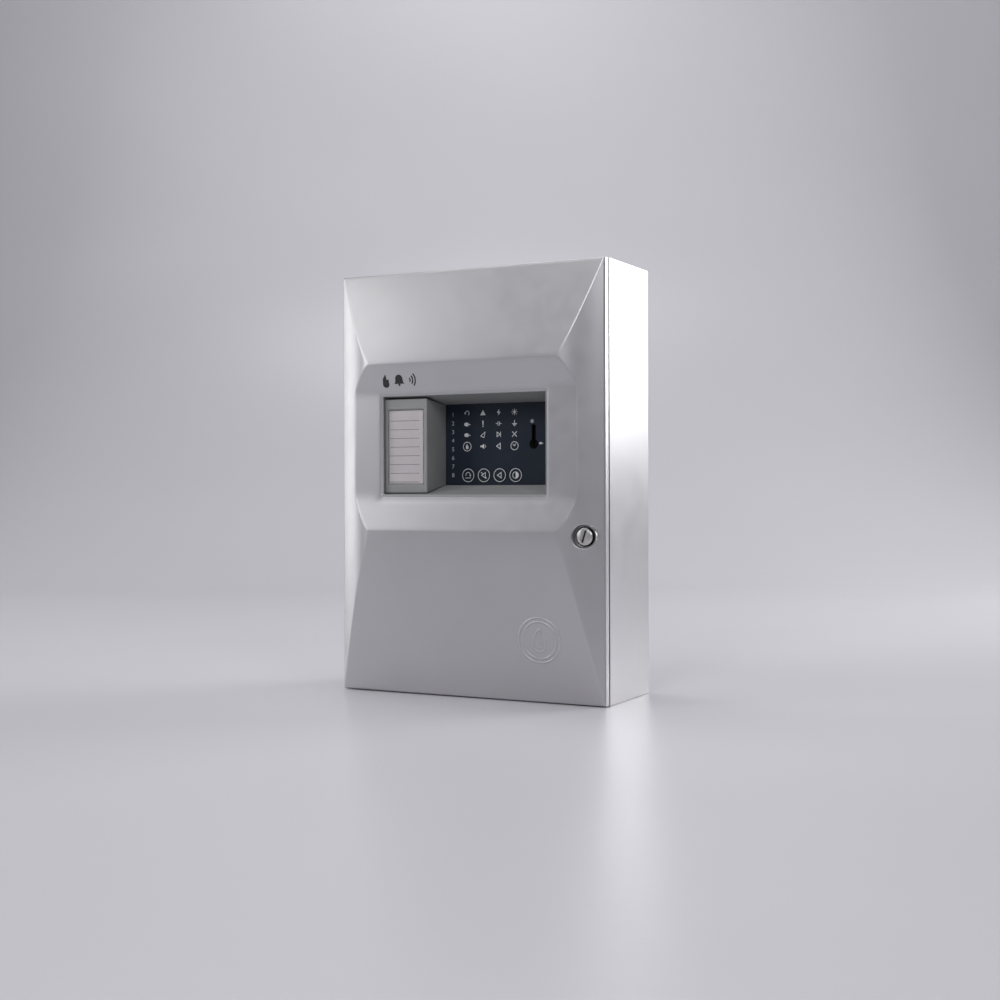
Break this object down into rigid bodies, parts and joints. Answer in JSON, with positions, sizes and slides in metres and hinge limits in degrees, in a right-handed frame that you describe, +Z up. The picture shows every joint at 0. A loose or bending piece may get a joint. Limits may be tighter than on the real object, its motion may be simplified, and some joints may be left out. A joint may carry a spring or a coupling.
{
  "type": "fire alarm control panel",
  "caption": "Steel wall cabinet with a hinged sculpted door, recessed display with zone labels and keys, cam lock, control board, supply and standby batteries.",
  "frame": {"origin": "middle of the base of the overall box", "axes": "+Z up, the door faces -Y, its hinge is at -X and its lock at +X"},
  "size_m": [0.276, 0.1224, 0.4],
  "materials": {
    "silver_paint": "satin silver metallic paint",
    "zinc_steel": "zinc plated",
    "lock_chrome": "satin chrome",
    "black_plastic": "fine textured moulding",
    "grey_plastic": "fine textured moulding",
    "card": "uncoated printed card",
    "clear_plastic": "clear acetate",
    "overlay_foil": "printed polyester foil, fine matt grain",
    "circuit_board": "solder mask",
    "terminal_plastic": "moulded",
    "aluminium": "extruded",
    "winding": "insulating tape over a winding",
    "laminations": "varnished sheet stack",
    "battery_case": "moulded ABS",
    "ribbon_grey": "ribbed cable",
    "red_insulation": "wire insulation",
    "black_insulation": "wire insulation"
  },
  "bodies": {
    "cabinet": {"back_box": "silver_paint", "cable_grommet_1": "black_plastic", "cable_grommet_2": "black_plastic", "cable_grommet_3": "black_plastic", "cable_grommet_4": "black_plastic", "hinge_bracket_lower": "zinc_steel", "hinge_bracket_upper": "zinc_steel", "lock_strike": "zinc_steel", "main_board": "circuit_board", "board_standoff_1": "zinc_steel", "board_standoff_2": "zinc_steel", "board_standoff_3": "zinc_steel", "board_standoff_4": "zinc_steel", "zone_terminals": "terminal_plastic", "output_terminals": "terminal_plastic", "relay_fire": "black_plastic", "relay_fault": "black_plastic", "processor_chip": "black_plastic", "battery_terminals": "terminal_plastic", "heatsink": "aluminium", "smoothing_capacitor": "black_plastic", "ribbon_header": "black_plastic", "ribbon_cable": "ribbon_grey", "transformer_core": "laminations", "transformer_coil": "winding", "mains_terminals": "grey_plastic", "fuse_holder": "grey_plastic", "earth_stud": "zinc_steel", "battery_left": "battery_case", "battery_right": "battery_case", "battery_strap": "zinc_steel", "battery_link_lead": "black_insulation", "battery_lead_negative": "black_insulation", "battery_lead_positive": "red_insulation"},
    "door": {"door_shell": "silver_paint", "hinge_pin_lower": "zinc_steel", "hinge_pin_upper": "zinc_steel", "display_tray": "grey_plastic", "label_holder": "grey_plastic", "label_card": "card", "label_window": "clear_plastic", "keypad_overlay": "overlay_foil", "key_switch_housing": "black_plastic", "display_board": "circuit_board", "buzzer": "black_plastic", "ribbon_plug": "black_plastic", "lock_barrel": "black_plastic", "lock_nut": "zinc_steel", "tact_switch_1": "black_plastic", "tact_switch_2": "black_plastic", "tact_switch_3": "black_plastic", "tact_switch_4": "black_plastic"},
    "lock": {"lock_plug": "lock_chrome", "lock_cam": "zinc_steel", "lock_cam_screw": "zinc_steel"},
    "access_key": {"key_rotor": "black_plastic"},
    "button_1": {"button_1": "overlay_foil"},
    "button_2": {"button_2": "overlay_foil"},
    "button_3": {"button_3": "overlay_foil"},
    "button_4": {"button_4": "overlay_foil"}
  },
  "joints": [
    {"name": "door_swing", "type": "hinge", "parent": "cabinet", "child": "door", "pos_m": [-0.136, -0.0361, 0.2], "axis": [0, 0, -1], "range_deg": [0, 110], "deforming": ["ribbon_cable"]},
    {"name": "lock_turn", "type": "hinge", "parent": "door", "child": "lock", "pos_m": [0.1222, -0.0498, 0.1515], "axis": [0, 1, 0], "range_deg": [0, 90]},
    {"name": "access_key_turn", "type": "hinge", "parent": "door", "child": "access_key", "pos_m": [0.0541, -0.0144, 0.2356], "axis": [0, 1, 0], "range_deg": [0, 90]},
    {"name": "button_1_press", "type": "slide", "parent": "door", "child": "button_1", "axis": [0, 1, 0], "range_m": [0, 0.0006], "stiffness_N_per_m": 1000, "springref_m": -0.0003},
    {"name": "button_2_press", "type": "slide", "parent": "door", "child": "button_2", "axis": [0, 1, 0], "range_m": [0, 0.0006], "stiffness_N_per_m": 1000, "springref_m": -0.0003},
    {"name": "button_3_press", "type": "slide", "parent": "door", "child": "button_3", "axis": [0, 1, 0], "range_m": [0, 0.0006], "stiffness_N_per_m": 1000, "springref_m": -0.0003},
    {"name": "button_4_press", "type": "slide", "parent": "door", "child": "button_4", "axis": [0, 1, 0], "range_m": [0, 0.0006], "stiffness_N_per_m": 1000, "springref_m": -0.0003}
  ]
}
